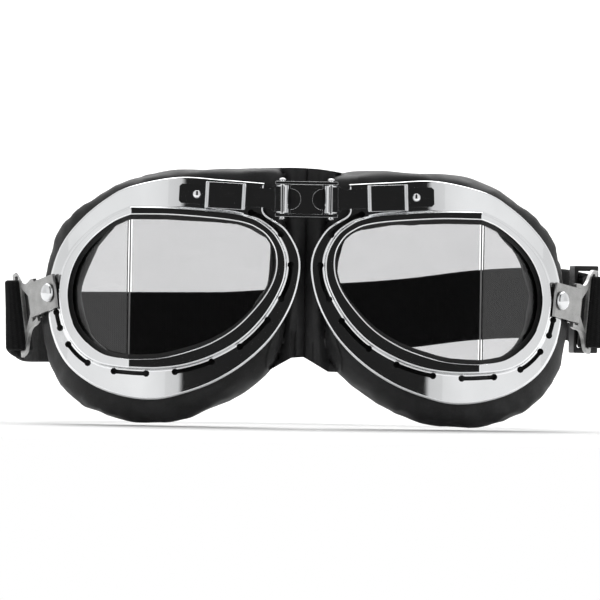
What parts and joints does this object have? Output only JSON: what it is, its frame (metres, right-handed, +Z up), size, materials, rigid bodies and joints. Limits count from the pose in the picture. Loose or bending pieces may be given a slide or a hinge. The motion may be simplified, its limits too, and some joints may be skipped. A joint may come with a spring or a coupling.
{
  "type": "motorcycle goggles",
  "caption": "Retro riding goggles: two chrome split-lens eye frames joined by an adjustable nose link, with leather face cushions and an elastic head strap on steel buckles.",
  "frame": {"origin": "middle of the object's footprint, on the plane that the two cushions stand on", "axes": "+X towards the eye on the right as seen from the front, +Y from the lenses towards the strap's back, +Z up"},
  "size_m": [0.2048, 0.1468, 0.0872],
  "materials": {
    "chrome": "mirror polished",
    "satin_steel": "satin",
    "lens": "clear with a light grey tint",
    "rubber": "matte",
    "black_plastic": "moulded",
    "leather": "soft grained",
    "foam": "open cell",
    "webbing": "woven, velvety"
  },
  "bodies": {
    "nose": {"nose_link": "chrome", "nose_gusset": "leather", "hinge_pin_left": "chrome", "hinge_pin_right": "chrome"},
    "strip_left": {"slide_strip_left": "chrome", "stop_rivet_left": "chrome"},
    "eye_left": {"eye_frame_left": "chrome", "slide_keeper_left": "chrome", "lens_gasket_left": "rubber", "lens_retainer_left": "black_plastic", "front_lens_left": "lens", "side_lens_left": "lens", "lens_post_left": "satin_steel", "bracket_rivet_left": "satin_steel", "foam_pad_left": "foam", "cushion_cover_left": "leather"},
    "bracket_left": {"strap_bracket_left": "satin_steel"},
    "buckle_left": {"strap_buckle_left": "satin_steel", "strap_left": "webbing"},
    "strip_right": {"slide_strip_right": "chrome", "stop_rivet_right": "chrome"},
    "eye_right": {"eye_frame_right": "chrome", "slide_keeper_right": "chrome", "lens_gasket_right": "rubber", "lens_retainer_right": "black_plastic", "front_lens_right": "lens", "side_lens_right": "lens", "lens_post_right": "satin_steel", "bracket_rivet_right": "satin_steel", "foam_pad_right": "foam", "cushion_cover_right": "leather"},
    "bracket_right": {"strap_bracket_right": "satin_steel"},
    "buckle_right": {"strap_buckle_right": "satin_steel", "strap_right": "webbing", "strap_adjuster": "black_plastic"}
  },
  "joints": [
    {"name": "fold_left", "type": "hinge", "parent": "nose", "child": "strip_left", "pos_m": [-0.00797, -0.07082, 0.0767], "axis": [0, 0, -1], "range_deg": [-8, 7]},
    {"name": "slide_left", "type": "slide", "parent": "strip_left", "child": "eye_left", "axis": [-0.9991, 0, 0.0419], "range_m": [-0.0005, 0.007]},
    {"name": "swivel_left", "type": "hinge", "parent": "eye_left", "child": "bracket_left", "pos_m": [-0.08542, -0.04472, 0.044], "axis": [0.8192, 0.5736, 0], "range_deg": [-5, 10]},
    {"name": "buckle_hinge_left", "type": "hinge", "parent": "bracket_left", "child": "buckle_left", "pos_m": [-0.09108, -0.03524, 0.04146], "axis": [0.129, -0.1843, -0.9744], "range_deg": [-7, 8]},
    {"name": "fold_right", "type": "hinge", "parent": "nose", "child": "strip_right", "pos_m": [0.00833, -0.07082, 0.0767], "axis": [0, 0, 1], "range_deg": [-8, 7]},
    {"name": "slide_right", "type": "slide", "parent": "strip_right", "child": "eye_right", "axis": [0.9991, 0, 0.0419], "range_m": [-0.0005, 0.007]},
    {"name": "swivel_right", "type": "hinge", "parent": "eye_right", "child": "bracket_right", "pos_m": [0.08578, -0.04472, 0.044], "axis": [0.8192, -0.5736, 0], "range_deg": [-5, 10]},
    {"name": "buckle_hinge_right", "type": "hinge", "parent": "bracket_right", "child": "buckle_right", "pos_m": [0.09154, -0.0351, 0.04243], "axis": [0.0798, 0.114, 0.9903], "range_deg": [-7, 8]}
  ],
  "couplings": [
    {"joint": "fold_right", "follows": "fold_left", "ratio": 1},
    {"joint": "swivel_right", "follows": "swivel_left", "ratio": 1},
    {"joint": "buckle_hinge_left", "follows": "fold_left", "ratio": -1},
    {"joint": "buckle_hinge_right", "follows": "fold_left", "ratio": -1}
  ]
}
